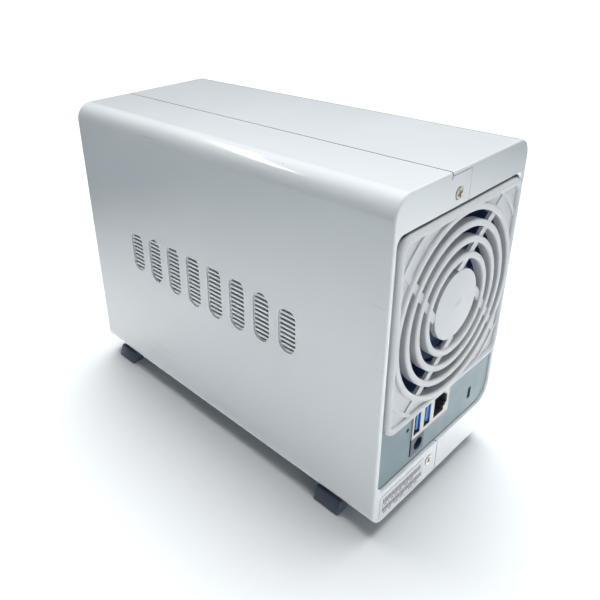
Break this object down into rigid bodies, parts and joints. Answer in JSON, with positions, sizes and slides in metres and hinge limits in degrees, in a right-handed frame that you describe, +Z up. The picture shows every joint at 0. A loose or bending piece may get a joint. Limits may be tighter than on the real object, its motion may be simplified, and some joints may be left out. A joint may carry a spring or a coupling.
{
  "type": "network storage enclosure",
  "caption": "Upright white plastic drive enclosure with a rear fan guard, rear ports, side louvres, block feet and a slide-off half shell.",
  "frame": {"origin": "on the floor, under the middle of the outer box", "axes": "+Z up, front face towards -Y, rear fan and ports towards +Y, the removable half shell on +X"},
  "size_m": [0.1, 0.22, 0.1675],
  "materials": {
    "shell_white": "cool white, glossy",
    "guard_white": "cool white, satin",
    "plate_grey": "blue-grey paint, satin",
    "sheet_steel": "zinc plated, satin",
    "fan_dark": "dark navy, satin",
    "board_green": "solder mask, satin",
    "chip_black": "moulded, matt",
    "connector_black": "moulded, satin",
    "connector_ivory": "moulded, satin",
    "aluminium_fins": "extruded, satin",
    "screw_nickel": "nickel plated",
    "shield_nickel": "nickel plated, satin",
    "shaft_steel": "ground",
    "bearing_brass": "sintered, satin",
    "coil_copper": "enamelled wire",
    "contact_gold": "gold plated",
    "pin_rubber": "matt",
    "pad_silicone": "matt",
    "foot_slate": "slate, satin",
    "usb_blue": "moulded, satin",
    "button_white": "cool white, glossy",
    "button_black": "matt",
    "light_clear": "clear, diffusing",
    "emitter_ivory": "moulded lens",
    "lead_grey": "satin sleeve",
    "ribbon_grey": "satin",
    "cell_steel": "brushed",
    "capacitor_sleeve": "satin can",
    "label_paper": "printed paper, satin"
  },
  "bodies": {
    "chassis": {"left_shell": "shell_white", "front_panel": "shell_white", "rear_plate": "plate_grey", "base_tray": "sheet_steel", "cage_shelf": "sheet_steel", "cage_roof": "sheet_steel", "cage_side": "sheet_steel", "cage_front": "sheet_steel", "cage_rear": "sheet_steel", "fan_guard": "guard_white", "fan_frame": "fan_dark", "fan_bearing": "bearing_brass", "fan_stator": "coil_copper", "fan_pins": "pin_rubber", "fan_lead": "lead_grey", "fan_plug": "connector_ivory", "main_board": "board_green", "processor": "chip_black", "thermal_pad": "pad_silicone", "heat_sink": "aluminium_fins", "memory_chips": "chip_black", "controller_chips": "chip_black", "capacitors": "capacitor_sleeve", "inductors": "chip_black", "coin_cell_holder": "connector_black", "coin_cell": "cell_steel", "buzzer": "connector_black", "fan_header": "connector_ivory", "cable_header": "connector_ivory", "connector_stack": "shield_nickel", "usb_tongues": "usb_blue", "network_insert": "connector_black", "network_contacts": "contact_gold", "power_jack": "connector_black", "power_pin": "shaft_steel", "reset_switch": "chip_black", "riser_slot": "connector_black", "backplane": "board_green", "drive_connectors": "connector_black", "board_standoffs": "contact_gold", "board_screws": "screw_nickel", "cage_screws": "screw_nickel", "tray_screws": "screw_nickel", "left_feet": "foot_slate", "power_switch": "chip_black", "light_board": "board_green", "light_board_screws": "screw_nickel", "light_pipes": "light_clear", "light_emitters": "emitter_ivory", "front_cable": "ribbon_grey", "lock_bracket": "sheet_steel", "front_screws": "screw_nickel"},
    "cover": {"right_shell": "shell_white", "cover_screws": "screw_nickel", "right_feet": "foot_slate", "blank_label": "label_paper"},
    "rotor": {"fan_rotor": "fan_dark", "fan_shaft": "shaft_steel"},
    "power_key": {"power_button": "button_white"},
    "reset_key": {"reset_button": "button_black"}
  },
  "joints": [
    {"name": "cover_slide", "type": "slide", "parent": "chassis", "child": "cover", "axis": [0, 1, 0], "range_m": [0, 0.23]},
    {"name": "fan_spin", "type": "hinge", "parent": "chassis", "child": "rotor", "pos_m": [0, 0.0915, 0.1042], "axis": [0, 1, 0], "continuous": true},
    {"name": "power_press", "type": "slide", "parent": "chassis", "child": "power_key", "axis": [0, 1, 0], "range_m": [0, 0.001], "stiffness_N_per_m": 800, "springref_m": -0.0005},
    {"name": "reset_press", "type": "slide", "parent": "chassis", "child": "reset_key", "axis": [0, -1, 0], "range_m": [0, 0.0005], "stiffness_N_per_m": 600, "springref_m": -0.0003}
  ]
}
